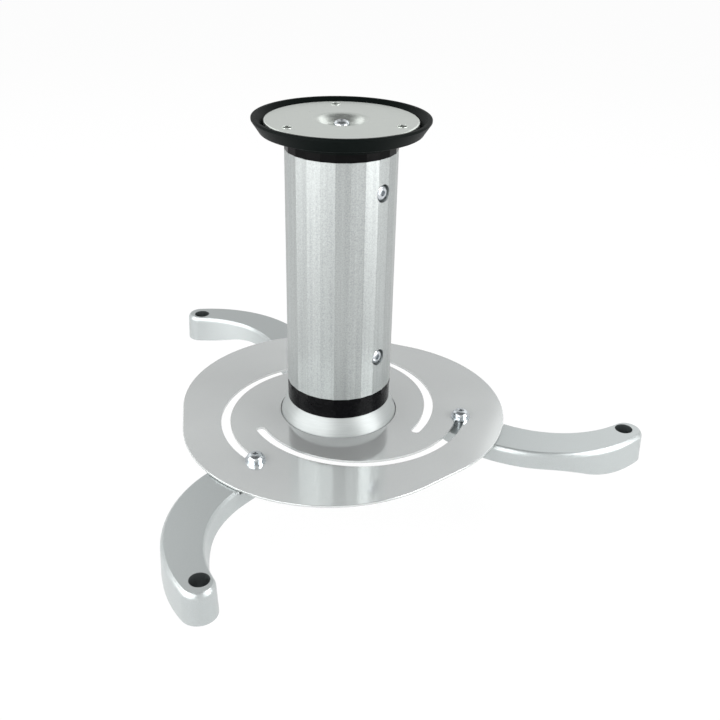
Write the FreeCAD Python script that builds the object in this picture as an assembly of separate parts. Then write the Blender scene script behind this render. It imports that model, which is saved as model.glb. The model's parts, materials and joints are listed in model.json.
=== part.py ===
"""Projector ceiling mount: ceiling plate and cover, faceted tube, ball joint and a
three-armed spider. Millimetres. The origin is the middle of the ceiling face, +Z points
into the ceiling, and everything hangs below it."""
import FreeCAD, Part
import math
import os

V = FreeCAD.Vector
UP = V(0, 0, 1)
ORIGIN = V(0, 0, 0)

# Ceiling plate
plate_radius = 42.3
plate_thickness = 2.0
plate_edge_round = 0.9
dish_radius = 16.0
dish_floor_radius = 6.5
dish_depth = 4.3
ceiling_hole_radius = 2.5
ceiling_hole_inset = 7.3
ceiling_hole_turn = -24.0

# Cover that slides on the tube
cover_rim_past_plate = 6.7
cover_rim_above_ceiling = 1.6
cover_rim_land = 2.0
cover_rim_round = 0.6
cover_lip_height = 1.3
cover_land_round = 0.4
cover_wall = 1.8
cover_foot_past_plate = 2.3
cover_foot_round = 1.0
cover_depth = 8.0
cover_floor_slope = 2.2
cover_neck_height = 2.0
cover_bore_clearance = 0.3

# Faceted tube
facet_count = 24
facet_turn = -42.8
tube_flat_radius = 31.2
tube_wall = 3.0
tube_top = -15.5
tube_length = 141.9
plug_clearance = 0.15
plug_wall = 6.05
upper_plug_length = 30.0
lower_plug_length = 33.4
hub_web = 5.0
hub_recess_gap = 1.0

# Ball joint
collar_height = 12.6
collar_facet_band = 3.0
collar_to_plate = 10.7
ball_radius = 37.5
ball_depth = 11.6
dome_thickness = 2.2
dome_flange_width = 5.6
dome_flange_thickness = 1.5
dome_opening_angle = 22.5
liner_thickness = 0.6
liner_top_angle = 28.0
liner_bottom_angle = 38.0
ball_gap = 0.05
cup_thickness = 3.0
cup_angle = 42.0
cup_boss_radius = 11.0
cup_boss_depth = 4.2
collar_web = 6.1

# Spider plate
spider_thickness = 1.5
spider_edge_round = 0.4
lobe_radius = 89.0
lobe_offset = 14.8
lobe_turn = 8.0
slot_radius = 65.5
slot_offset = 12.0
slot_turn = 13.0
slot_clearance = 0.25
slot_start_angle = 335.4
slot_sweep = 140.0
slot_end_room = 1.0
dome_hole_clearance = 0.1

# Arms, each drawn with its bolt at the origin and its tip hole on the X axis
arm_count = 3
arm_reach = 100.5
arm_rest_swing = (2.5, 26.4, 27.2)
arm_root_radius = 12.5
arm_outer_radius = 80.0
arm_outer_at_tip = 11.6
arm_inner_radius = 63.0
arm_foot_inner_radius = 68.0
arm_inner_at_bolt = 15.6
arm_inner_at_tip = 8.0
arm_nose_lead = 0.8
arm_draft = 0.6
arm_face_inset_outer = 1.9
arm_face_inset_inner = 1.3
arm_edge_height = 3.5
arm_edge_sweep = 62.0
arm_edge_sections = 4
arm_under_plate = 0.2
arm_root_depth = 11.0
arm_foot_depth = 18.9
arm_slope_start = 50.0
arm_slope_end = 100.0
tongue_drop = 3.3
tongue_centre = V(2.0, 4.0, 0)
tongue_radius = 25.8
tip_bore_radius = 5.3
tip_hole_radius = 3.25
tip_floor = 5.0
pivot_gap = 0.075

# Fasteners: nominal radius, head radius and height, nut size across flats and height
m5_radius = 2.5
m5_clearance = 0.25
m5_head_radius = 5.0
m5_head_height = 3.7
m5_nut_across = 8.0
m5_nut_height = 5.0
m5_pocket_depth = 3.0
m5_boss_wall = 3.2
m5_washer_radius = 6.0
m5_washer_thickness = 1.0
m5_recess_radius = 2.4
m5_recess_width = 1.0
m5_recess_depth = 2.0
m5_tail = 2.4
m8_radius = 4.0
m8_clearance = 0.2
m8_head_across = 13.0
m8_head_height = 5.3
m8_nut_height = 6.5
m8_pocket_depth = 5.0
m8_boss_wall = 4.2
m8_washer_radius = 8.0
m8_washer_thickness = 1.6
m8_tail = 4.0
thread_gap = 0.05
pocket_gap = 0.1
sleeve_radius = 4.5
button_head_radius = 4.75
button_head_height = 2.75
button_rim_height = 0.5
button_socket_across = 3.0
button_socket_depth = 1.6
button_length = 10.0
button_hole_radius = 5.0
upper_screw_from_end = 19.0
lower_screw_from_end = 23.5
centre_head_radius = 4.5

# Head and nut shapes as shares of the head's radius and height, or of a corner
pan_rim_share = 0.45
pan_shoulder = (0.76, 0.86)
pan_crown_share = 0.3
button_shoulder = (0.78, 0.8)
button_crown_share = 0.5
nut_corner_share = 0.6

# Sizes and heights that follow from the ones above
m5_hole_radius = m5_radius + m5_clearance
m8_hole_radius = m8_radius + m8_clearance
slot_width = 2 * (m5_radius + slot_clearance)
ceiling_hole_circle_radius = plate_radius - ceiling_hole_inset
cover_rim_radius = plate_radius + cover_rim_past_plate
cover_foot_radius = plate_radius + cover_foot_past_plate
plug_flat_radius = tube_flat_radius - tube_wall - plug_clearance
plug_bore_radius = plug_flat_radius - plug_wall
tube_bottom = tube_top - tube_length
upper_screw_height = tube_top - upper_screw_from_end
lower_screw_height = tube_bottom + lower_screw_from_end
collar_bottom = tube_bottom - collar_height
spider_top = collar_bottom - collar_to_plate
spider_under = spider_top - spider_thickness
ball_centre = V(0, 0, spider_top - ball_depth)
seat_radius = ball_radius + liner_thickness + 2 * ball_gap
dome_inner_radius = ball_radius - dome_thickness
cup_radius = dome_inner_radius - ball_gap
collar_floor = ball_centre.z + seat_radius + collar_web
cup_boss_under = ball_centre.z + cup_radius - cup_thickness - cup_boss_depth
arm_top = spider_under - arm_under_plate
tongue_top = spider_under - tongue_drop
arm_root_under = spider_under - arm_root_depth
arm_foot = spider_under - arm_foot_depth
dish_under = -plate_thickness - dish_depth
hub_floor = dish_under - hub_web


def around(angle, radius, z=0.0):
    """Point at an angle in degrees and a radius about the Z axis."""
    return V(radius * math.cos(math.radians(angle)), radius * math.sin(math.radians(angle)), z)


def angle_of(vector):
    """Angle of a plan vector in degrees."""
    return math.degrees(math.atan2(vector.y, vector.x))


def arc(centre, start, end, clockwise=False):
    """Arc edge about a centre in plan, from start to end."""
    first = angle_of(start - centre)
    sweep = (angle_of(end - centre) - first) % 360.0
    if clockwise:
        sweep -= 360.0
    middle = centre + around(first + sweep / 2, (start - centre).Length)
    return Part.Arc(start, middle, end).toShape()


def line(start, end):
    return Part.LineSegment(start, end).toShape()


def prism(wire, height):
    """Solid between a flat wire and its copy, height above it."""
    return Part.Face(wire).extrude(V(0, 0, height))


def cylinder(radius, low, high, at=ORIGIN):
    return Part.makeCylinder(radius, high - low, V(at.x, at.y, low))


def turned(first, *steps):
    """Solid of revolution. Points are (radius, z); a step of two points is an arc."""
    edges = []
    here = V(first[0], 0, first[1])
    for step in steps + (first,):
        if isinstance(step[0], tuple):
            middle = V(step[0][0], 0, step[0][1])
            there = V(step[1][0], 0, step[1][1])
            edges.append(Part.Arc(here, middle, there).toShape())
        else:
            there = V(step[0], 0, step[1])
            edges.append(line(here, there))
        here = there
    return Part.Face(Part.Wire(edges)).revolve(ORIGIN, UP, 360)


def s_bend(start, end):
    """Two tangent arcs, level at both ends, as steps for a profile."""
    run = end[0] - start[0]
    rise = end[1] - start[1]
    bend = (run * run + rise * rise) / (4 * abs(rise))
    half = math.asin(abs(run) / 2 / bend) / 2
    dx = math.copysign(bend * math.sin(half), run)
    dz = math.copysign(bend * (1 - math.cos(half)), rise)
    middle = ((start[0] + end[0]) / 2, (start[1] + end[1]) / 2)
    return (((start[0] + dx, start[1] + dz), middle), ((end[0] - dx, end[1] - dz), end))


def polygon_prism(across_radius, count, turn, low, high, at=ORIGIN):
    """Prism with flats at a given distance from its axis, one flat facing the turn angle."""
    corner = across_radius / math.cos(math.pi / count)
    points = [at + around(turn + (k + 0.5) * 360.0 / count, corner, low) for k in range(count)]
    return prism(Part.makePolygon(points + points[:1]), high - low)


def faceted(flat_radius, low, high):
    """Prism with the tube's facets."""
    return polygon_prism(flat_radius, facet_count, facet_turn, low, high)


def hexagon(across, low, high, at=ORIGIN):
    return polygon_prism(across / 2, 6, 0.0, low, high, at)


def ball(radius):
    return Part.makeSphere(radius, ball_centre)


def cone_about_ball(half_angle, height):
    """Cone upwards from the ball centre, used to trim spherical pieces."""
    return Part.makeCone(0, height * math.tan(math.radians(half_angle)), height, ball_centre)


def pan_screw(head_radius, head_height, shank_radius, length, seat):
    """Pan-head screw along -Z, head resting on the seat height, with a crossed recess."""
    top = seat + head_height
    shoulder = (head_radius * pan_shoulder[0], seat + head_height * pan_shoulder[1])
    head = turned((0, seat), (head_radius, seat), (head_radius, seat + head_height * pan_rim_share),
                  (shoulder, (head_radius * pan_crown_share, top)), (0, top))
    arm = m5_recess_radius
    half = m5_recess_width / 2
    quarter = [(arm, -half), (arm, half), (half, half)]
    corners = []
    for turn in range(4):
        corners += [V(x, y, top - m5_recess_depth) for x, y in quarter]
        quarter = [(-y, x) for x, y in quarter]
    recess = prism(Part.makePolygon(corners + corners[:1]), m5_recess_depth)
    return head.fuse(cylinder(shank_radius, seat - length, seat)).cut(recess).removeSplitter()


def hex_nut(across, height, bore_radius, top):
    """Nut under a given height, its corners turned off on both faces."""
    body = hexagon(across, top - height, top)
    corner = across / math.sqrt(3)
    soft = (corner - across / 2) * nut_corner_share
    blank = turned((0, top - height), (across / 2, top - height), (corner, top - height + soft),
                   (corner, top - soft), (across / 2, top), (0, top))
    return body.common(blank).cut(cylinder(bore_radius, top - height, top))


def ceiling_plate():
    """Pressed plate with a dish for the centre screw and three ceiling holes."""
    top_bend = s_bend((dish_floor_radius, -dish_depth), (dish_radius, 0))
    under_bend = s_bend((dish_radius, -plate_thickness), (dish_floor_radius, dish_under))
    edge = plate_edge_round
    bulge = edge * (1 - math.sqrt(0.5))
    plate = turned((m5_hole_radius, -dish_depth), (dish_floor_radius, -dish_depth), *top_bend,
                   (plate_radius - edge, 0),
                   ((plate_radius - bulge, -bulge), (plate_radius, -edge)),
                   (plate_radius, -plate_thickness), (dish_radius, -plate_thickness),
                   *under_bend, (m5_hole_radius, dish_under))
    for k in range(3):
        hole = around(ceiling_hole_turn + 120 * k, ceiling_hole_circle_radius)
        plate = plate.cut(cylinder(ceiling_hole_radius, -plate_thickness, 0, hole))
    return plate


def ceiling_cover():
    """Saucer-shaped cover with a faceted bore that follows the tube."""
    top = cover_rim_above_ceiling
    foot = top - cover_depth
    bulge = cover_rim_round * (1 - math.sqrt(0.5))
    land_inner = cover_rim_radius - cover_rim_land
    bore = tube_flat_radius + cover_bore_clearance
    neck_outer = bore / math.cos(math.pi / facet_count) + cover_wall
    floor_outer = foot - cover_floor_slope
    bottom = floor_outer - cover_neck_height
    soft = cover_foot_round
    inner_corner = (cover_foot_radius - 2 * cover_wall, foot + cover_wall * 0.6)
    saucer = turned((0, foot), inner_corner,
                    (land_inner - cover_land_round, top - cover_land_round), (land_inner, top),
                    (cover_rim_radius - cover_rim_round, top),
                    ((cover_rim_radius - bulge, top - bulge), (cover_rim_radius, top - cover_rim_round)),
                    (cover_rim_radius, top - cover_lip_height),
                    (cover_foot_radius + soft / 2, foot + soft * 0.8),
                    ((cover_foot_radius - soft * 0.1, foot + soft * 0.1), (cover_foot_radius - soft, foot)),
                    (neck_outer, floor_outer), (neck_outer, bottom), (0, bottom))
    hollow = turned((0, floor_outer + cover_wall), (neck_outer, floor_outer + cover_wall), inner_corner,
                    (inner_corner[0], top), (0, top))
    return saucer.cut(hollow).cut(faceted(bore, bottom, top))


def centre_screw():
    """Screw that holds the ceiling plate to the hub."""
    length = plate_thickness + hub_web + m5_nut_height + m5_tail
    return pan_screw(centre_head_radius, m5_head_height, m5_radius, length, -dish_depth)


def hub_nut():
    return hex_nut(m5_nut_across, m5_nut_height, m5_radius + thread_gap, hub_floor)


def side_screw_place(height):
    """Turn and height of a side screw, along +X before it is turned."""
    return FreeCAD.Placement(V(0, 0, height), FreeCAD.Rotation(UP, facet_turn))


def side_hole(radius, height):
    """Cutter from the axis out along the facet's normal."""
    hole = Part.makeCylinder(radius, 2 * tube_flat_radius, ORIGIN, V(1, 0, 0))
    hole.Placement = side_screw_place(height)
    return hole


def side_screw(height):
    """Button-head socket screw, its head seated on the plug inside the tube's hole."""
    seat = plug_flat_radius
    top = seat + button_head_height
    shoulder = (button_head_radius * button_shoulder[0], seat + button_head_height * button_shoulder[1])
    head = turned((0, seat), (button_head_radius, seat), (button_head_radius, seat + button_rim_height),
                  (shoulder, (button_head_radius * button_crown_share, top)), (0, top))
    shank = cylinder(m5_radius, seat - button_length, seat)
    socket = hexagon(button_socket_across, top - button_socket_depth, top)
    screw = head.fuse(shank).cut(socket)
    screw.rotate(ORIGIN, V(0, 1, 0), 90)
    screw.Placement = side_screw_place(height).multiply(screw.Placement)
    return screw


def upper_hub():
    """Collar under the ceiling plate with a plug that fills the top of the tube."""
    plug_bottom = tube_top - upper_plug_length
    hub = faceted(tube_flat_radius, tube_top, -plate_thickness)
    hub = hub.fuse(faceted(plug_flat_radius, plug_bottom, tube_top))
    recess = cylinder(dish_radius + hub_recess_gap, dish_under, -plate_thickness)
    hollow = cylinder(plug_bore_radius, plug_bottom, hub_floor)
    boss = cylinder(m5_nut_across / 2 + m5_boss_wall, hub_floor - m5_pocket_depth, hub_floor)
    pocket = hexagon(m5_nut_across + 2 * pocket_gap, hub_floor - m5_pocket_depth, hub_floor)
    hub = hub.cut(recess).cut(hollow).fuse(boss).cut(pocket)
    hub = hub.cut(cylinder(m5_hole_radius, hub_floor, dish_under))
    return hub.cut(side_hole(m5_radius + thread_gap, upper_screw_height))


def tube():
    """Extruded tube with two holes that the side screws' heads sit in."""
    body = faceted(tube_flat_radius, tube_bottom, tube_top)
    body = body.cut(faceted(tube_flat_radius - tube_wall, tube_bottom, tube_top))
    for height in (upper_screw_height, lower_screw_height):
        body = body.cut(side_hole(button_hole_radius, height))
    return body


def lower_collar():
    """Black ring and plug under the tube, hollowed below as the ball's upper seat."""
    round_edge = tube_bottom - collar_facet_band
    plug_top = tube_bottom + lower_plug_length
    collar = faceted(tube_flat_radius, round_edge, tube_bottom)
    collar = collar.fuse(cylinder(tube_flat_radius, collar_bottom, round_edge))
    collar = collar.fuse(faceted(plug_flat_radius, tube_bottom, plug_top))
    collar = collar.cut(ball(seat_radius)).cut(cylinder(plug_bore_radius, collar_floor, plug_top))
    pocket_top = collar_floor + m8_pocket_depth
    boss = cylinder(m8_head_across / 2 + m8_boss_wall, collar_floor, pocket_top)
    pocket = hexagon(m8_head_across + 2 * pocket_gap, collar_floor, pocket_top)
    collar = collar.fuse(boss).cut(pocket)
    collar = collar.cut(cylinder(m8_hole_radius, ball_centre.z, collar_floor))
    return collar.cut(side_hole(m5_radius + thread_gap, lower_screw_height))


def clamp_nut():
    return hex_nut(m8_head_across, m8_nut_height, m8_radius + thread_gap, collar_floor + m8_nut_height)


def clamp_washer():
    top = cup_boss_under
    washer = cylinder(m8_washer_radius, top - m8_washer_thickness, top)
    return washer.cut(cylinder(m8_hole_radius, top - m8_washer_thickness, top))


def clamp_bolt():
    """Hexagon-head bolt on the axis, up through cup and dome into the collar's nut."""
    seat = cup_boss_under - m8_washer_thickness
    tip = collar_floor + m8_nut_height + m8_tail
    head = hex_nut(m8_head_across, m8_head_height, m8_radius, seat)
    return head.fuse(cylinder(m8_radius, seat - m8_head_height, tip)).removeSplitter()


def clamp_cup():
    """Spherical cup that the bolt pulls up against the inside of the dome."""
    shell = ball(cup_radius).cut(ball(cup_radius - cup_thickness))
    shell = shell.common(cone_about_ball(cup_angle, 2 * cup_radius))
    boss = cylinder(cup_boss_radius, cup_boss_under, ball_centre.z + cup_radius)
    cup = shell.fuse(boss.common(ball(cup_radius - cup_thickness / 2)))
    return cup.cut(cylinder(m8_hole_radius, cup_boss_under, ball_centre.z + cup_radius)).removeSplitter()


def ball_liner():
    """Thin nylon ring between the collar's seat and the dome."""
    outer = ball_radius + ball_gap + liner_thickness
    ring = ball(outer).cut(ball(ball_radius + ball_gap))
    ring = ring.common(cone_about_ball(liner_bottom_angle, 2 * outer))
    return ring.cut(cone_about_ball(liner_top_angle, 2 * outer))


def ball_dome():
    """Pressed dome with a flange under the spider plate and an opening at the top."""
    flange_low = spider_under - dome_flange_thickness
    keep = cylinder(2 * ball_radius, flange_low, spider_top + 2 * ball_radius)
    flange = cylinder(ball_radius + dome_flange_width, flange_low, spider_under)
    dome = ball(ball_radius).common(keep).fuse(flange)
    dome = dome.cut(ball(dome_inner_radius))
    dome = dome.cut(cone_about_ball(dome_opening_angle, 2 * ball_radius))
    return dome.removeSplitter()


def spider_outline(z):
    """Three lobes: arcs of equal radius joined by their common tangents."""
    centres = [around(lobe_turn + 120 * k, lobe_offset, z) for k in range(3)]
    edges = []
    for k, centre in enumerate(centres):
        turn = lobe_turn + 120 * k
        start = centre + around(turn - 60, lobe_radius)
        end = centre + around(turn + 60, lobe_radius)
        next_start = centres[(k + 1) % 3] + around(turn + 60, lobe_radius)
        edges.append(arc(centre, start, end))
        edges.append(line(end, next_start))
    return Part.Wire(edges)


def slot_centre(k):
    """Centre of spiral slot k's arc."""
    return around(slot_turn + 120 * k, slot_offset)


def bolt_place(k):
    """Where bolt k stands at rest, at the outer end of its slot."""
    return slot_centre(k) + around(slot_turn + 120 * k + slot_start_angle, slot_radius)


def spiral_slot(k):
    """Cutter for one curved slot with round ends."""
    centre = slot_centre(k) + V(0, 0, spider_under)
    last = slot_turn + 120 * k + slot_start_angle + slot_end_room
    first = last - slot_sweep - 2 * slot_end_room
    inner = slot_radius - slot_width / 2
    outer = slot_radius + slot_width / 2
    corners = [centre + around(a, r) for a, r in ((first, outer), (last, outer), (last, inner), (first, inner))]
    ends = [centre + around(a, slot_radius) for a in (last, first)]
    wire = Part.Wire([arc(centre, corners[0], corners[1]), arc(ends[0], corners[1], corners[2]),
                      arc(centre, corners[2], corners[3], clockwise=True), arc(ends[1], corners[3], corners[0])])
    return prism(wire, spider_thickness)


def spider_plate():
    """Flat lobed plate with the dome's hole and three spiral slots."""
    plate = prism(spider_outline(spider_under), spider_thickness)
    rims = [edge for edge in plate.Edges if edge.BoundBox.ZLength < spider_edge_round]
    plate = plate.makeFillet(spider_edge_round, rims)
    dome_at_underside = math.sqrt(ball_radius ** 2 - (spider_under - ball_centre.z) ** 2)
    plate = plate.cut(cylinder(dome_at_underside + dome_hole_clearance, spider_under, spider_top))
    for k in range(3):
        plate = plate.cut(spiral_slot(k))
    return plate


def meeting(centre_a, radius_a, centre_b, radius_b):
    """The point above the X axis at given distances from two points on that axis."""
    gap = (centre_b - centre_a).Length
    along = (radius_a ** 2 - radius_b ** 2 + gap ** 2) / (2 * gap)
    return centre_a + V(along, math.sqrt(radius_a ** 2 - along ** 2), 0)


def arm_outline(z, inner_radius=arm_inner_radius, inset_outer=0.0, inset_inner=0.0):
    """Banana-shaped plan of an arm, all its curves tangent to each other."""
    bolt = ORIGIN
    tip = V(arm_reach, 0, 0)
    outer_centre = meeting(bolt, arm_outer_radius - arm_root_radius, tip, arm_outer_radius - arm_outer_at_tip)
    inner_centre = meeting(bolt, inner_radius + arm_inner_at_bolt, tip, inner_radius + arm_inner_at_tip)
    outer = arm_outer_radius - inset_outer
    inner = inner_radius + inset_inner
    root = arm_root_radius - inset_outer
    # The nose circle touches both long arcs; its direction from the outer centre is given
    towards = around(angle_of(tip - outer_centre) + arm_nose_lead, 1)
    apart = outer_centre - inner_centre
    both = outer + inner
    reach = (both ** 2 - apart.Length ** 2) / (2 * (apart.dot(towards) + both))
    nose_centre = outer_centre + towards * reach
    nose_inner = inner_centre + (nose_centre - inner_centre).normalize() * inner
    nose_outer = outer_centre + towards * outer
    root_outer = outer_centre + (bolt - outer_centre).normalize() * outer
    # A straight run leads from the root circle to the inner arc, tangent to both
    slant = angle_of(inner_centre) + math.degrees(math.acos((root + inner) / inner_centre.Length))
    root_inner = around(slant, root)
    run_end = inner_centre - around(slant, inner)
    wire = Part.Wire([line(root_inner, run_end), arc(inner_centre, run_end, nose_inner),
                      arc(nose_centre, nose_inner, nose_outer, clockwise=True),
                      arc(outer_centre, nose_outer, root_outer, clockwise=True),
                      arc(bolt, root_outer, root_inner, clockwise=True)])
    wire.translate(V(0, 0, z))
    return wire


def arm_side():
    """Side view of an arm, thicker towards the foot at its tip, as a wide slab."""
    half = arm_reach
    left = -2 * arm_root_radius
    right = arm_reach + 3 * arm_root_radius
    start = (arm_slope_start, arm_root_under)
    bend = s_bend(start, (arm_slope_end, arm_foot))
    points = [V(x, -half, z) for x, z in ((left, arm_top), (left, arm_root_under), start)]
    edges = [line(points[0], points[1]), line(points[1], points[2])]
    here = points[2]
    for middle, end in bend:
        there = V(end[0], -half, end[1])
        edges.append(Part.Arc(here, V(middle[0], -half, middle[1]), there).toShape())
        here = there
    corner = V(right, -half, arm_foot)
    top = V(right, -half, arm_top)
    edges += [line(here, corner), line(corner, top), line(top, points[0])]
    return Part.Face(Part.Wire(edges)).extrude(V(0, 2 * half, 0))


def arm_shape():
    """One cast arm in its own frame."""
    edge_base = arm_top - arm_edge_height
    foot = arm_outline(arm_foot, arm_foot_inner_radius)
    walls = Part.makeLoft([foot, arm_outline(edge_base, arm_inner_radius, arm_draft, arm_draft)], True, True)
    # The upper edge rolls over in a quarter of an ellipse that stops short at the flat face
    sections = []
    for k in range(arm_edge_sections):
        turn = math.radians(arm_edge_sweep * k / (arm_edge_sections - 1))
        inward = (1 - math.cos(turn)) / (1 - math.cos(math.radians(arm_edge_sweep)))
        upward = math.sin(turn) / math.sin(math.radians(arm_edge_sweep))
        sections.append(arm_outline(edge_base + upward * arm_edge_height, arm_inner_radius,
                                    arm_draft + inward * arm_face_inset_outer,
                                    arm_draft + inward * arm_face_inset_inner))
    body = walls.fuse(Part.makeLoft(sections, True, False)).common(arm_side())
    body = body.cut(cylinder(tongue_radius, tongue_top, arm_top, tongue_centre))
    body = body.cut(cylinder(m5_radius + pivot_gap, arm_foot, arm_top))
    tip = V(arm_reach, 0, 0)
    body = body.cut(cylinder(tip_bore_radius, arm_foot + tip_floor, arm_top, tip))
    return body.cut(cylinder(tip_hole_radius, arm_foot, arm_top, tip)).removeSplitter()


def placed_arm(shape, k):
    """Arm k turned to its rest swing about its bolt."""
    arm = shape.copy()
    bolt = bolt_place(k)
    arm.rotate(ORIGIN, UP, angle_of(bolt) + arm_rest_swing[k])
    arm.translate(bolt)
    return arm


def slot_stack():
    """Washer, bolt, sleeve and nut of one slot, on the Z axis."""
    washer_top = spider_top + m5_washer_thickness
    length = washer_top - arm_root_under + m5_nut_height + m5_tail
    ring_hole = m5_radius + thread_gap
    washer = cylinder(m5_washer_radius, spider_top, washer_top).cut(cylinder(ring_hole, spider_top, washer_top))
    sleeve = cylinder(sleeve_radius, tongue_top, spider_under).cut(cylinder(ring_hole, tongue_top, spider_under))
    return {"slot_bolt": pan_screw(m5_head_radius, m5_head_height, m5_radius, length, washer_top),
            "slot_washer": washer,
            "slot_sleeve": sleeve,
            "slot_nut": hex_nut(m5_nut_across, m5_nut_height, ring_hole, arm_root_under)}


def pieces():
    """Every piece by name."""
    found = {"ceiling_plate": ceiling_plate(), "ceiling_cover": ceiling_cover(),
             "centre_screw": centre_screw(), "hub_nut": hub_nut(), "upper_hub": upper_hub(),
             "tube": tube(), "lower_collar": lower_collar(), "clamp_nut": clamp_nut(),
             "upper_side_screw": side_screw(upper_screw_height),
             "lower_side_screw": side_screw(lower_screw_height),
             "clamp_bolt": clamp_bolt(), "clamp_cup": clamp_cup(), "clamp_washer": clamp_washer(),
             "ball_liner": ball_liner(), "ball_dome": ball_dome(), "spider_plate": spider_plate()}
    arm = arm_shape()
    stack = slot_stack()
    for k in range(arm_count):
        found["arm_%d" % (k + 1)] = placed_arm(arm, k)
        for name, shape in stack.items():
            piece = shape.copy()
            piece.translate(bolt_place(k))
            found["%s_%d" % (name, k + 1)] = piece
    return found


os.makedirs("parts", exist_ok=True)
for node, shape in pieces().items():
    solid = shape.Solids[0]
    solid.exportStep("parts/%s.step" % node)
    box = solid.BoundBox
    print("%-18s %9.1f mm3  z %8.2f to %8.2f  solids %d  valid %s"
          % (node, solid.Volume, box.ZMin, box.ZMax, len(shape.Solids), solid.isValid()))
for k in range(arm_count):
    bolt = bolt_place(k)
    centre = slot_centre(k)
    print("slot %d  centre %.4f %.4f  bolt %.4f %.4f" % (k + 1, centre.x, centre.y, bolt.x, bolt.y))
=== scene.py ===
# %% [markdown]
# # A projector ceiling mount
# The real object is a pressed ceiling plate, a black cover that slides on a faceted
# aluminium tube, a ball joint, and a lobed steel plate that carries three cast arms.
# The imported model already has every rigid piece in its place, so this lesson gives each
# piece its real finish and adds the small turned details that repeat. The frame is loaded
# first, because every later cell measures it instead of guessing sizes.

# %% Load the frame
import json
import math

import bpy
from mathutils import Matrix, Vector


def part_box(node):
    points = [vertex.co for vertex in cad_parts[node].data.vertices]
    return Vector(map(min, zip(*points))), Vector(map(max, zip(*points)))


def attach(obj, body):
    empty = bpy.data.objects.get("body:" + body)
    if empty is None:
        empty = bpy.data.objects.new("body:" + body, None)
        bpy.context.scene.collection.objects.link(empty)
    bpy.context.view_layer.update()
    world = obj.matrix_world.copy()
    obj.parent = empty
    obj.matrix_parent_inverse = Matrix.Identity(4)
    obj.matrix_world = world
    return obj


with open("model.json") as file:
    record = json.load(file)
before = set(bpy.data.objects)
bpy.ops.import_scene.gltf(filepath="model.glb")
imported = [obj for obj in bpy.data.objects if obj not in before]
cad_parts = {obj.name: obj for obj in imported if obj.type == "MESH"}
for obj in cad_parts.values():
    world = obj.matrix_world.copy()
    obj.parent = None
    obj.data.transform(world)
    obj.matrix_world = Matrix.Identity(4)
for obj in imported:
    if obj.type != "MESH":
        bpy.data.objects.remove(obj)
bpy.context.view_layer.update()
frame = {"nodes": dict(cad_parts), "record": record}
nodes = frame["nodes"]

# %% [markdown]
# ## Helpers
# Sizes are thought of in millimetres, as a maker would, while Blender works in metres.
# A noise texture's scale is the number of its cells in a metre, so one helper turns a real
# grain width into a scale. Colours are written as sRGB hex values, the way a paint
# card gives them, and one function makes them linear. One function adds a node to any
# tree, for a material and for Geometry Nodes alike.

# %% Helpers
MM = 0.001


def grain(width_mm):
    """Texture scale whose cells are about this wide on Object coordinates."""
    return 1000.0 / width_mm


def linear(hex_colour):
    """Linear RGBA of an sRGB hex value."""
    def channel(text):
        value = int(text, 16) / 255.0
        return value / 12.92 if value <= 0.04045 else ((value + 0.055) / 1.055) ** 2.4
    return tuple(channel(hex_colour[i:i + 2]) for i in (1, 3, 5)) + (1.0,)


def add_node(tree, kind, inputs=None, **settings):
    """Add a node, set its properties, then fill or link its inputs."""
    node = tree.nodes.new(kind)
    for name, value in settings.items():
        setattr(node, name, value)
    for name, value in (inputs or {}).items():
        if isinstance(value, bpy.types.NodeSocket):
            tree.links.new(value, node.inputs[name])
        else:
            node.inputs[name].default_value = value
    return node


# %% [markdown]
# ## The view
# The photograph looks along +Y and down at the mount with a short telephoto lens, from
# about half a metre. The camera's place, pitch, yaw and roll come from the outlines of the
# tube, the cover and the plate, so the render can be laid over the photograph.

# %% Camera
camera_place = Vector((0.0, -503.675, 121.695)) * MM
camera_pitch = math.radians(28.0837)
camera_yaw = math.radians(1.4672)
camera_roll = math.radians(1.3610)
lens_px, picture_px, sensor_mm = 931.0876, 720, 36.0

forward = Vector((math.sin(camera_yaw) * math.cos(camera_pitch),
                  math.cos(camera_yaw) * math.cos(camera_pitch), -math.sin(camera_pitch)))
level = Vector((math.cos(camera_yaw), -math.sin(camera_yaw), 0.0))
raised = level.cross(forward)
right = math.cos(camera_roll) * level + math.sin(camera_roll) * raised
upward = math.cos(camera_roll) * raised - math.sin(camera_roll) * level
turn = Matrix((right, upward, -forward)).transposed()

camera_data = bpy.data.cameras.new("photo_view")
camera_data.sensor_width = sensor_mm
camera_data.lens = lens_px * sensor_mm / picture_px
camera = bpy.data.objects.new("photo_view", camera_data)
camera.matrix_world = Matrix.Translation(camera_place) @ turn.to_4x4()
bpy.context.scene.collection.objects.link(camera)
bpy.context.scene.camera = camera
print("lens %.2f mm" % camera_data.lens)

# %% [markdown]
# ## The studio
# Satin metal shows what is round it, so the studio is part of the finish: a white backdrop
# low down all round, a greyer band above it, and a dark room overhead. The grey band is
# what makes the silver plate look silver, and the dark room is what the far wall of the
# ceiling plate's dish mirrors. The camera itself sees plain white.

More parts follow.
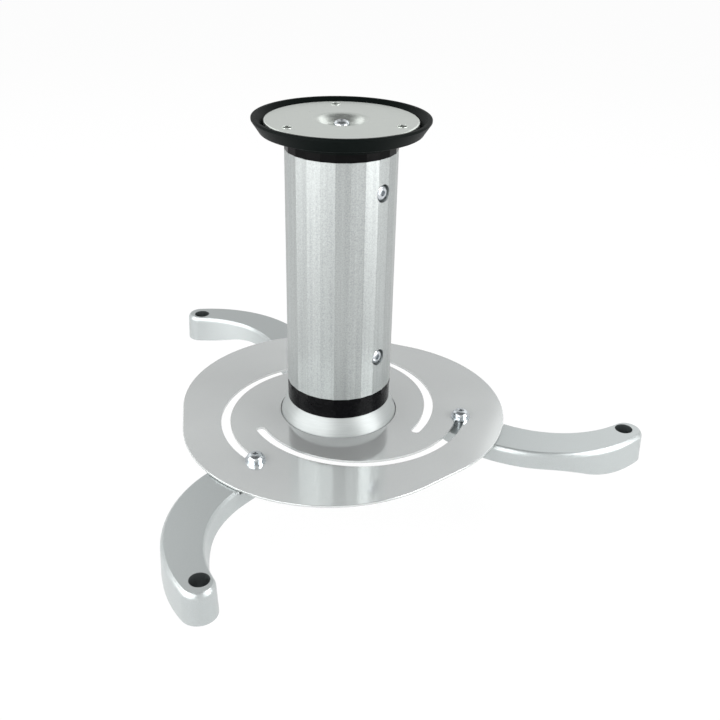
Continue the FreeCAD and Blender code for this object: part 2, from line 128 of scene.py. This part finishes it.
# %% World
plain_white = (1, 1, 1, 1)
world = bpy.data.worlds.new("studio")
bpy.context.scene.world = world
world.use_nodes = True
sky = world.node_tree
sky.nodes.clear()
backdrop_white, band_grey, room_dark = 0.76, 0.64, 0.065
backdrop_top, band_low, band_top, room_low = 0.22, 0.42, 0.72, 0.92
direction = add_node(sky, "ShaderNodeTexCoord")
height = add_node(sky, "ShaderNodeSeparateXYZ", {"Vector": direction.outputs["Generated"]})
band = add_node(sky, "ShaderNodeMapRange", {
    "Value": height.outputs["Z"], "From Min": backdrop_top, "From Max": band_low,
    "To Min": backdrop_white, "To Max": band_grey}, interpolation_type="SMOOTHSTEP")
room = add_node(sky, "ShaderNodeMapRange", {
    "Value": height.outputs["Z"], "From Min": band_top, "From Max": room_low,
    "To Min": band.outputs["Result"], "To Max": room_dark}, interpolation_type="SMOOTHSTEP")
ray = add_node(sky, "ShaderNodeLightPath")
strength = add_node(sky, "ShaderNodeMix", {
    "Factor": ray.outputs["Is Camera Ray"], "A": room.outputs["Result"], "B": 1.0})
studio = add_node(sky, "ShaderNodeBackground", {
    "Color": plain_white, "Strength": strength.outputs["Result"]})
add_node(sky, "ShaderNodeOutputWorld", {"Surface": studio.outputs["Background"]})
print("backdrop, band and room:", backdrop_white, band_grey, room_dark)

# %% [markdown]
# The floor is a sweep of white paper that reaches 12 metres out. The camera and the metal
# see it as plain white, but a small share of it still takes real light, and that share
# keeps the mount's soft shadow. It lies lower than the arm tips come when the ball joint
# tilts, with a fifth to spare.

# %% Floor
floor_half = 12.0
arm_boxes = [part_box("arm_%d" % k) for k in (1, 2, 3)]
arm_reach = max(abs(value) for low, high in arm_boxes for value in (low.x, low.y, high.x, high.y))
tilt_limit, spare_room = math.radians(15.0), 1.2
tip_drop = arm_reach * math.sin(tilt_limit)
floor_low = min(low.z for low, high in arm_boxes) - spare_room * tip_drop
floor_mesh = bpy.data.meshes.new("floor")
floor_mesh.from_pydata([(x * floor_half, y * floor_half, floor_low)
                        for x, y in ((-1, -1), (1, -1), (1, 1), (-1, 1))], [], [(0, 1, 2, 3)])
floor = bpy.data.objects.new("floor", floor_mesh)
bpy.context.scene.collection.objects.link(floor)

paper = bpy.data.materials.new("white_paper_sweep")
paper.use_nodes = True
sheet = paper.node_tree
sheet.nodes.clear()
paper_shadow_share = 0.05
matt = add_node(sheet, "ShaderNodeBsdfDiffuse", {"Color": linear("#FAFAFA")})
glow = add_node(sheet, "ShaderNodeEmission", {"Color": plain_white, "Strength": 1.0})
seen = add_node(sheet, "ShaderNodeLightPath")
glossy = add_node(sheet, "ShaderNodeMath", {
    0: seen.outputs["Is Glossy Ray"], 1: seen.outputs["Is Transmission Ray"]}, operation="MAXIMUM")
direct = add_node(sheet, "ShaderNodeMath", {
    0: seen.outputs["Is Camera Ray"], 1: glossy.outputs["Value"]}, operation="MAXIMUM")
share = add_node(sheet, "ShaderNodeMath", {
    0: direct.outputs["Value"], 1: 1.0 - paper_shadow_share}, operation="MULTIPLY")
lit = add_node(sheet, "ShaderNodeMixShader", {
    0: share.outputs["Value"], 1: matt.outputs[0], 2: glow.outputs[0]})
add_node(sheet, "ShaderNodeOutputMaterial", {"Surface": lit.outputs[0]})
floor_mesh.materials.append(paper)
print("floor at %.1f mm" % (floor_low / MM))

# %% [markdown]
# A low and a high softbox stand on each side in front. The low pair gives the tube's flats
# their contrast. The high pair lights them from the angle that the plate's front mirrors.
# The gap between the two stays plain backdrop, so the plate doesn't burn out to white
# when it is seen from behind. Two weaker lamps behind and one overhead open the shadows.

# %% One lamp
target = Vector((0, 0, -100)) * MM


def soft_lamp(name, azimuth, elevation, distance, width, tall, power, in_metal=True):
    """Area lamp aimed at the tube; azimuth 0 is the camera's side, positive to the right."""
    a, e = math.radians(azimuth), math.radians(elevation)
    offset = Vector((math.sin(a) * math.cos(e), -math.cos(a) * math.cos(e), math.sin(e))) * distance
    data = bpy.data.lights.new(name, "AREA")
    data.shape = "RECTANGLE"
    data.size, data.size_y = width, tall
    data.energy = power
    lamp = bpy.data.objects.new(name, data)
    lamp.location = target + offset
    lamp.rotation_euler = (-offset).to_track_quat("-Z", "Y").to_euler()
    # No lamp shows in a picture, and the overhead one doesn't show in the metal either
    lamp.visible_camera = False
    lamp.visible_glossy = in_metal
    bpy.context.scene.collection.objects.link(lamp)
    return lamp


# %% Lamps
front_distance, rim_distance, overhead_distance = 0.95, 1.2, 1.4
left_azimuth, left_width = -53, 1.5
right_azimuth, right_width = 64, 0.6
low_elevation, low_tall = 1, 0.40
high_elevation, high_tall = 31, 0.26
rim_elevation, rim_width, rim_tall = 30, 1.0, 0.7
lamps = [
    soft_lamp("left_low_softbox", left_azimuth, low_elevation, front_distance,
              left_width, low_tall, power=7.2),
    soft_lamp("left_high_softbox", left_azimuth, high_elevation, front_distance,
              left_width, high_tall, power=6.6),
    soft_lamp("right_low_softbox", right_azimuth, low_elevation, front_distance,
              right_width, low_tall, power=4.3),
    soft_lamp("right_high_softbox", right_azimuth, high_elevation, front_distance,
              right_width, high_tall, power=4.6),
    soft_lamp("left_rim_softbox", -132, rim_elevation, rim_distance,
              rim_width, rim_tall, power=1.5),
    soft_lamp("right_rim_softbox", 138, rim_elevation, rim_distance,
              rim_width, rim_tall, power=1.7),
    soft_lamp("overhead_softbox", azimuth=175, elevation=74, distance=overhead_distance,
              width=0.8, tall=0.6, power=9.0, in_metal=False)]
print("lamps:", [lamp.name for lamp in lamps])

# %% [markdown]
# ## Finishes
# Each finish is named for the real one. A finish starts with the numbers that are the same
# all over the piece, set on the shader's own sockets. Then a fine pattern on Object
# coordinates changes colour, gloss and height a little, at the size of the real grain.

# %% Start of a finish
finishes = {}


def start_finish(slot, name, colour, metallic, roughness, **sockets):
    """New material for a record slot; returns its tree, shader and coordinates."""
    material = bpy.data.materials.new(name)
    material.use_nodes = True
    tree = material.node_tree
    tree.nodes.clear()
    inputs = {"Base Color": linear(colour), "Metallic": metallic, "Roughness": roughness}
    inputs.update({key.replace("_", " "): value for key, value in sockets.items()})
    shader = add_node(tree, "ShaderNodeBsdfPrincipled", inputs)
    add_node(tree, "ShaderNodeOutputMaterial", {"Surface": shader.outputs[0]})
    place = add_node(tree, "ShaderNodeTexCoord")
    finishes[slot] = material
    return tree, shader, place.outputs["Object"]


def vary_colour(tree, shader, factor, dark, light):
    """Base colour runs between two sRGB values with a 0 to 1 factor; returns that colour."""
    tint = add_node(tree, "ShaderNodeMix", {
        "Factor": factor, "A": linear(dark), "B": linear(light)}, data_type="RGBA")
    tree.links.new(tint.outputs["Result"], shader.inputs["Base Color"])
    return tint.outputs["Result"]


def vary_gloss(tree, shader, factor, low, high):
    """Roughness runs between two values with a 0 to 1 factor."""
    gloss = add_node(tree, "ShaderNodeMapRange", {"Value": factor, "To Min": low, "To Max": high})
    tree.links.new(gloss.outputs["Result"], shader.inputs["Roughness"])


def raise_grain(tree, shader, factor, strength, depth_mm):
    """Bump from a 0 to 1 height."""
    bump = add_node(tree, "ShaderNodeBump", {"Height": factor, "Strength": strength,
                                             "Distance": depth_mm * MM})
    tree.links.new(bump.outputs["Normal"], shader.inputs["Normal"])


# %% [markdown]
# ### Bead-blasted, anodised aluminium
# The tube is an extrusion. Glass beads leave it evenly dull with a sparkling grain of about
# 0.1 mm, and anodising keeps that texture. The grain is drawn at 0.8 mm, as coarse as it
# needs to show in the picture. A stretched noise gives the faint die lines along the tube.

# %% Tube finish
die_line_share, along_stretch = 0.3, 0.01
tree, shader, place = start_finish("tube_aluminium", "bead_blasted_anodised_aluminium",
                                   "#A3A7A6", 0.9, 0.40)
beads = add_node(tree, "ShaderNodeTexNoise", {
    "Vector": place, "Scale": grain(0.8), "Detail": 3.0, "Roughness": 0.6})
along = add_node(tree, "ShaderNodeMapping", {"Vector": place, "Scale": (1.0, 1.0, along_stretch)})
die_lines = add_node(tree, "ShaderNodeTexNoise", {
    "Vector": along.outputs[0], "Scale": grain(1.6), "Detail": 3.0})
sparkle = add_node(tree, "ShaderNodeMix", {
    "Factor": die_line_share, "A": beads.outputs[0], "B": die_lines.outputs[0]})
vary_colour(tree, shader, sparkle.outputs["Result"], "#676B6B", "#CBCFCE")
vary_gloss(tree, shader, beads.outputs[0], 0.36, 0.52)
raise_grain(tree, shader, beads.outputs[0], 0.45, 0.06)

# %% [markdown]
# ### Silver metallic powder coat
# The lobed plate and its slots are laser cut and then coated. The coat is smooth enough to
# mirror the tube and the black collar. Its flakes lie in a clear binder and throw light
# every way, so only a part of it behaves as metal and the rest as a pale, dull ground.

# %% Plate finish
flake_width, flow_share = 0.35, 0.4
tree, shader, place = start_finish("plate_silver", "silver_metallic_powder_coat",
                                   "#BDC0C0", 0.6, 0.10)
flakes = add_node(tree, "ShaderNodeTexNoise", {
    "Vector": place, "Scale": grain(flake_width), "Detail": 1.0})
flow = add_node(tree, "ShaderNodeTexNoise", {"Vector": place, "Scale": grain(45.0), "Detail": 2.0})
cloud = add_node(tree, "ShaderNodeMix", {
    "Factor": flow_share, "A": flakes.outputs[0], "B": flow.outputs[0]})
vary_colour(tree, shader, cloud.outputs["Result"], "#B6B9B9", "#CBCECD")
vary_gloss(tree, shader, flakes.outputs[0], 0.08, 0.14)
raise_grain(tree, shader, flakes.outputs[0], 0.03, 0.02)

# %% [markdown]
# ### Silver paint on die-cast aluminium
# The arms are castings with a little orange peel, waves about 1.5 mm wide, under a silky
# silver paint. The tip bores get painted shade: near each bore's axis and below the top
# face the colour turns a darker grey, standing for the shadow in those deep holes. These
# meshes keep one material each, so the colour itself changes there, and the record says
# where that axis is.

# %% Arm finish
tree, shader, place = start_finish("arm_silver", "silver_paint_on_casting", "#B0B5B5", 0.75, 0.36)
peel = add_node(tree, "ShaderNodeTexNoise", {"Vector": place, "Scale": grain(1.5), "Detail": 2.0})
flecks = add_node(tree, "ShaderNodeTexNoise", {
    "Vector": place, "Scale": grain(flake_width), "Detail": 1.0})
paint = vary_colour(tree, shader, flecks.outputs[0], "#A4A9A9", "#BBC0C0")
vary_gloss(tree, shader, flecks.outputs[0], 0.31, 0.41)
raise_grain(tree, shader, peel.outputs[0], 0.12, 0.04)

# %% Painted shade in the tip bores
# Painted shade: a mask of the bore walls, near a tip bore's axis and within the arm's height
bore_reach, shade_height_margin = 5.5 * MM, 0.2 * MM
low, high = arm_boxes[0]
plan_place = add_node(tree, "ShaderNodeVectorMath", {
    0: place, 1: (1.0, 1.0, 0.0)}, operation="MULTIPLY")
nearest = 1.0
tip_bores = [mount["pos_m"] for mount in frame["record"]["mounts"] if mount["kind"] == "bore"]
for bore_x, bore_y, _ in tip_bores:
    gap = add_node(tree, "ShaderNodeVectorMath", {
        0: plan_place.outputs["Vector"], 1: (bore_x, bore_y, 0.0)}, operation="DISTANCE")
    nearer = add_node(tree, "ShaderNodeMath", {
        0: nearest, 1: gap.outputs["Value"]}, operation="MINIMUM")
    nearest = nearer.outputs["Value"]
level_place = add_node(tree, "ShaderNodeSeparateXYZ", {"Vector": place})
within = add_node(tree, "ShaderNodeMath", {0: nearest, 1: bore_reach}, operation="LESS_THAN")
between = add_node(tree, "ShaderNodeMath", {
    0: level_place.outputs["Z"], 1: (low.z + high.z) / 2,
    2: (high.z - low.z) / 2 - shade_height_margin}, operation="COMPARE")
bore_shade_mask = add_node(tree, "ShaderNodeMath", {
    0: within.outputs[0], 1: between.outputs[0]}, operation="MULTIPLY")
# The darker grey mixed over the paint here is painted shade for the deep tip bores
painted_bore_shade = add_node(tree, "ShaderNodeMix", {
    "Factor": bore_shade_mask.outputs[0], "A": paint, "B": linear("#6E7475")}, data_type="RGBA")
tree.links.new(painted_bore_shade.outputs["Result"], shader.inputs["Base Color"])
print("tip bores:", len(tip_bores))

# %% [markdown]
# ### Lathe-polished steel
# The dome of the ball joint is pressed and then polished on a lathe, so its faint scratches
# run round the axis and leave it satin. Rings about 0.4 mm apart, broken by noise, give that.

# %% Dome finish
tree, shader, place = start_finish("dome_steel", "lathe_polished_steel", "#A0A4A4", 0.5, 0.42)
stretch = add_node(tree, "ShaderNodeMapping", {"Vector": place, "Scale": (0.04, 0.04, 1.0)})
scratches = add_node(tree, "ShaderNodeTexNoise", {
    "Vector": stretch.outputs[0], "Scale": grain(0.4), "Detail": 3.0})
vary_colour(tree, shader, scratches.outputs[0], "#959999", "#ACB0AF")
vary_gloss(tree, shader, scratches.outputs[0], 0.36, 0.50)
raise_grain(tree, shader, scratches.outputs[0], 0.08, 0.02)

# %% [markdown]
# ### Zinc plate
# The ceiling plate is zinc-plated sheet: a soft grey metal with a slight green-yellow cast and
# rolling marks in one direction. The screws, nuts and washers have bright zinc, which is
# smoother and bluer.

# %% Zinc finishes
tree, shader, place = start_finish("zinc_sheet", "zinc_plated_sheet", "#D0D5D1", 0.9, 0.30)
rolled = add_node(tree, "ShaderNodeMapping", {"Vector": place, "Scale": (0.05, 1.0, 1.0)})
rolling = add_node(tree, "ShaderNodeTexNoise", {
    "Vector": rolled.outputs[0], "Scale": grain(0.5), "Detail": 3.0})
vary_colour(tree, shader, rolling.outputs[0], "#C6CCC7", "#DADFDA")
vary_gloss(tree, shader, rolling.outputs[0], 0.24, 0.36)
raise_grain(tree, shader, rolling.outputs[0], 0.08, 0.02)

tree, shader, place = start_finish("bright_zinc", "bright_zinc_plate", "#C2C8CB", 0.9, 0.16)
stains = add_node(tree, "ShaderNodeTexNoise", {"Vector": place, "Scale": grain(1.2), "Detail": 3.0})
vary_colour(tree, shader, stains.outputs[0], "#A9B0B4", "#D6DADD")
vary_gloss(tree, shader, stains.outputs[0], 0.10, 0.24)

tree, shader, place = start_finish("side_screw_steel", "bright_steel_button_screw",
                                   "#C6CACD", 1.0, 0.2)
stains = add_node(tree, "ShaderNodeTexNoise", {"Vector": place, "Scale": grain(1.0), "Detail": 3.0})
vary_colour(tree, shader, stains.outputs[0], "#AEB4B9", "#DADDE0")
vary_gloss(tree, shader, stains.outputs[0], 0.14, 0.28)

# %% [markdown]
# ### Black plastics
# The sliding cover is moulded ABS from a lightly spark-eroded mould, so it is dull with
# a 0.3 mm grain. The hub is nylon from a polished mould and mirrors the lamps. The
# lower ring is between the two.

# %% Black finishes
tree, shader, place = start_finish("cover_black", "spark_eroded_black_abs", "#0C1110", 0.0, 0.42,
                                   Specular_IOR_Level=0.04)
pits = add_node(tree, "ShaderNodeTexNoise", {"Vector": place, "Scale": grain(0.3), "Detail": 2.0})
vary_colour(tree, shader, pits.outputs[0], "#050908", "#0B100F")
vary_gloss(tree, shader, pits.outputs[0], 0.36, 0.52)
raise_grain(tree, shader, pits.outputs[0], 0.25, 0.03)

tree, shader, place = start_finish("hub_black", "polished_black_nylon", "#070708", 0.0, 0.10,
                                   Specular_IOR_Level=0.06)
wipes = add_node(tree, "ShaderNodeTexNoise", {"Vector": place, "Scale": grain(6.0), "Detail": 3.0})
vary_gloss(tree, shader, wipes.outputs[0], 0.07, 0.16)
vary_colour(tree, shader, wipes.outputs[0], "#050505", "#0A0A0B")

tree, shader, place = start_finish("collar_black", "satin_black_nylon", "#070708", 0.0, 0.26,
                                   Specular_IOR_Level=0.05)
wipes = add_node(tree, "ShaderNodeTexNoise", {"Vector": place, "Scale": grain(2.5), "Detail": 3.0})
vary_gloss(tree, shader, wipes.outputs[0], 0.2, 0.34)
vary_colour(tree, shader, wipes.outputs[0], "#050506", "#0A0A0C")

# %% [markdown]
# ### Inner pieces
# The friction liner is natural nylon, and the cup under the dome is a raw casting.

# %% Inner finishes
tree, shader, place = start_finish("liner_nylon", "natural_nylon", "#DEDCD2", 0.0, 0.45,
                                   Subsurface_Weight=0.1)
milk = add_node(tree, "ShaderNodeTexNoise", {"Vector": place, "Scale": grain(2.0), "Detail": 2.0})
vary_colour(tree, shader, milk.outputs[0], "#D6D4C9", "#E6E4DC")

tree, shader, place = start_finish("cup_casting", "raw_die_casting", "#B4B6B7", 1.0, 0.48)
skin = add_node(tree, "ShaderNodeTexNoise", {"Vector": place, "Scale": grain(0.8), "Detail": 3.0})
vary_colour(tree, shader, skin.outputs[0], "#A3A5A7", "#C3C5C6")
vary_gloss(tree, shader, skin.outputs[0], 0.4, 0.58)
raise_grain(tree, shader, skin.outputs[0], 0.2, 0.05)

# %% [markdown]
# The record names one material slot for each piece, and the finishes above are kept by the
# same names, so one loop dresses the whole mount.

# %% Give every frame piece its finish
slot_of = {part["node"]: part["material_slot"] for part in frame["record"]["subparts"]}
for name, piece in nodes.items():
    piece.data.materials.clear()
    piece.data.materials.append(finishes[slot_of[name]])
print("finishes:", len(finishes))

# %% [markdown]
# ## Threads, lock rings and hole rims
# Under each arm a screw's tail stands out of a lock nut, and the nut's blue-white nylon ring
# grips its thread. Round each screw hole of the ceiling plate the punch left a low rim. A
# thread is a ridge that follows a helix, a ring is a profile that follows a circle, and
# the three rims are one such ring set out on the hole circle. All that is repeating
# geometry with a rule, so Geometry Nodes make it, with the real sizes as named inputs.

# %% Start of a tree


def start_tree(name, numbers):
    """New tree with a material input and named number inputs; returns tree and inputs."""
    group = bpy.data.node_groups.new(name, "GeometryNodeTree")
    group.interface.new_socket("Geometry", in_out="OUTPUT", socket_type="NodeSocketGeometry")
    group.interface.new_socket("Material", in_out="INPUT", socket_type="NodeSocketMaterial")
    for label in numbers:
        group.interface.new_socket(label, in_out="INPUT", socket_type="NodeSocketFloat")
    return group, add_node(group, "NodeGroupInput").outputs


def end_tree(group, geometry, material):
    """Real geometry with the tree's material, as the tree's output."""
    real = add_node(group, "GeometryNodeRealizeInstances", {"Geometry": geometry})
    coated = add_node(group, "GeometryNodeSetMaterial", {
        "Geometry": real.outputs[0], "Material": material})
    add_node(group, "NodeGroupOutput", {"Geometry": coated.outputs[0]})


def grow(name, group, values, place):
    """Run a tree on an empty mesh and keep the result as a plain mesh at its place."""
    holder = bpy.data.objects.new(name, bpy.data.meshes.new(name))
    bpy.context.scene.collection.objects.link(holder)
    modifier = holder.modifiers.new("grow", "NODES")
    modifier.node_group = group
    for item in group.interface.items_tree:
        if item.in_out == "INPUT" and item.name in values:
            modifier[item.identifier] = values[item.name]
    bpy.context.view_layer.update()
    shaped = holder.evaluated_get(bpy.context.evaluated_depsgraph_get())
    mesh = bpy.data.meshes.new_from_object(shaped)
    holder.modifiers.remove(modifier)
    holder.data = mesh
    mesh.transform(Matrix.Translation(place))
    print(name, "faces:", len(mesh.polygons))
    return holder


# %% Thread tree
thread_tree, given = start_tree("screw_thread", ("Radius", "Height", "Turns", "Ridge"))
helix = add_node(thread_tree, "GeometryNodeCurveSpiral", {
    "Resolution": 20, "Rotations": given["Turns"], "Start Radius": given["Radius"],
    "End Radius": given["Radius"], "Height": given["Height"]})
ridge = add_node(thread_tree, "GeometryNodeCurvePrimitiveCircle", {
    "Resolution": 4, "Radius": given["Ridge"]})
thread = add_node(thread_tree, "GeometryNodeCurveToMesh", {
    "Curve": helix.outputs[0], "Profile Curve": ridge.outputs[0], "Fill Caps": True})
end_tree(thread_tree, thread.outputs[0], given["Material"])

# %% [markdown]
# Lock rings and rims share one ring. A lock ring is that ring alone. The rims are copies of
# it on the points of a circle, and as a circle has three points or more, a single ring
# can't be set out that way, so each has its own tree.

# %% Ring trees


def round_ring(tree, given):
    """Ring of round section, as a circle that follows a circle."""
    loop = add_node(tree, "GeometryNodeCurvePrimitiveCircle", {
        "Resolution": 40, "Radius": given["Ring Radius"]})
    section = add_node(tree, "GeometryNodeCurvePrimitiveCircle", {
        "Resolution": 10, "Radius": given["Profile Radius"]})
    ring = add_node(tree, "GeometryNodeCurveToMesh", {
        "Curve": loop.outputs[0], "Profile Curve": section.outputs[0]})
    return ring.outputs[0]


ring_tree, given = start_tree("lock_ring", ("Ring Radius", "Profile Radius"))
end_tree(ring_tree, round_ring(ring_tree, given), given["Material"])

rim_tree, given = start_tree("hole_rims", ("Ring Radius", "Profile Radius", "Count",
                                           "Circle Radius", "Turn"))
spots = add_node(rim_tree, "GeometryNodeCurvePrimitiveCircle", {
    "Resolution": given["Count"], "Radius": given["Circle Radius"]})
spot_points = add_node(rim_tree, "GeometryNodeCurveToPoints", {
    "Curve": spots.outputs[0]}, mode="EVALUATED")
set_out = add_node(rim_tree, "GeometryNodeInstanceOnPoints", {
    "Points": spot_points.outputs["Points"], "Instance": round_ring(rim_tree, given)})
spin = add_node(rim_tree, "ShaderNodeCombineXYZ", {"Z": given["Turn"]})
turned_rims = add_node(rim_tree, "GeometryNodeTransform", {
    "Geometry": set_out.outputs[0], "Rotation": spin.outputs[0]})
end_tree(rim_tree, turned_rims.outputs[0], given["Material"])

# %% [markdown]
# Each arm's bolt slides in its slot with its nut, so its thread and ring ride on that
# slider. The rims stay on the ceiling plate, which is the root.

# %% Threads and lock rings
bolt_radius, thread_pitch, thread_depth = 2.5 * MM, 0.8 * MM, 0.22 * MM
thread_start = thread_depth
lock_ring_radius, lock_ring_profile = 3.0 * MM, 0.55 * MM
for k in (1, 2, 3):
    low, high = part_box("slot_bolt_%d" % k)
    nut_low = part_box("slot_nut_%d" % k)[0]
    middle = (low + high) / 2
    tail = nut_low.z - low.z
    thread_piece = grow("bolt_thread_%d" % k, thread_tree, {
        "Radius": bolt_radius - thread_depth / 2, "Height": tail - thread_start * 2,
        "Turns": max(1.0, tail / thread_pitch - 0.5), "Ridge": thread_depth,
        "Material": finishes["bright_zinc"]}, Vector((middle.x, middle.y, low.z + thread_start)))
    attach(thread_piece, "slider_%d" % k)
    ring_piece = grow("lock_ring_%d" % k, ring_tree, {
        "Ring Radius": lock_ring_radius, "Profile Radius": lock_ring_profile,
        "Material": finishes["liner_nylon"]}, Vector((middle.x, middle.y, nut_low.z)))
    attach(ring_piece, "slider_%d" % k)

# %% Rims of the ceiling holes
hole_radius, hole_circle, hole_turn = 2.5 * MM, 35.0 * MM, math.radians(-24.0)
rim_margin, rim_profile = 0.25 * MM, 0.3 * MM
rims = grow("ceiling_hole_rims", rim_tree, {
    "Ring Radius": hole_radius + rim_margin, "Profile Radius": rim_profile, "Count": 3,
    "Circle Radius": hole_circle, "Turn": hole_turn, "Material": finishes["zinc_sheet"]},
    Vector((0.0, 0.0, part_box("ceiling_plate")[1].z)))
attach(rims, "root")

# %% [markdown]
# The Standard view shows a colour about as it is written.

bpy.context.scene.view_settings.view_transform = "Standard"
